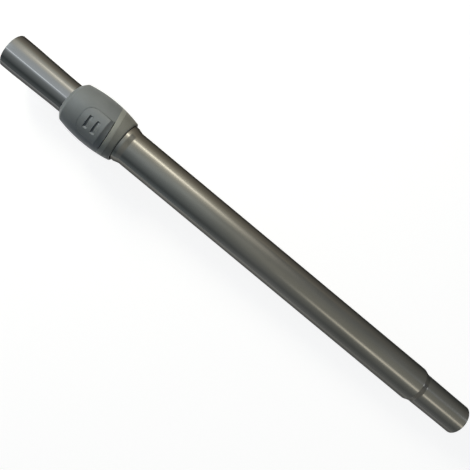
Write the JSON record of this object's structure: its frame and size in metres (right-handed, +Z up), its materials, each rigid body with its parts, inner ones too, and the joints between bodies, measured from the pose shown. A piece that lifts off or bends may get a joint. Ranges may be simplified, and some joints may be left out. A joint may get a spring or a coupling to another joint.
{
  "type": "telescopic vacuum cleaner wand",
  "caption": "Telescopic steel vacuum wand: an inner tube with a hose socket slides in an outer tube with a tool spigot, locked at notches by a rocking button in a grey collar.",
  "frame": {"origin": "centre of the spigot's end face, on the tube axis", "axes": "+X along the tube axis from the tool spigot to the hose socket, +Z up through the middle of the button"},
  "size_m": [0.5682, 0.0516, 0.0525],
  "materials": {
    "outer_steel": "satin chrome-plated steel tube",
    "inner_steel": "bright chrome-plated steel tube",
    "collar_grey": "fine matt grey moulding",
    "ring_grey": "fine matt warm grey moulding",
    "band_grey": "matt light grey moulding",
    "button_grey": "fine matt grey moulding",
    "bearing_plastic": "plain dark moulding",
    "felt": "dense dark felt",
    "seal_rubber": "black rubber",
    "plain_steel": "plain drawn steel"
  },
  "bodies": {
    "outer": {"outer_tube": "outer_steel", "guide_sleeve": "bearing_plastic", "rear_ring": "ring_grey", "trim_band": "band_grey", "collar_shell": "collar_grey", "front_bearing": "bearing_plastic", "wiper_ring": "felt", "pivot_pin": "plain_steel", "return_spring": "plain_steel"},
    "inner": {"inner_tube": "inner_steel", "end_bush": "bearing_plastic", "seal_ring": "seal_rubber", "stop_ring": "bearing_plastic"},
    "button": {"latch_button": "button_grey", "latch_pawl": "plain_steel"}
  },
  "joints": [
    {"name": "tube_slide", "type": "slide", "parent": "outer", "child": "inner", "axis": [1, 0, 0], "range_m": [0, 0.33]},
    {"name": "button_press", "type": "hinge", "parent": "outer", "child": "button", "pos_m": [0.4647, 0, 0.0194], "axis": [0, -1, 0], "range_deg": [0, 6.5], "stiffness_Nm_per_rad": 0.6, "springref_deg": -5.73, "deforming": ["return_spring"]}
  ]
}
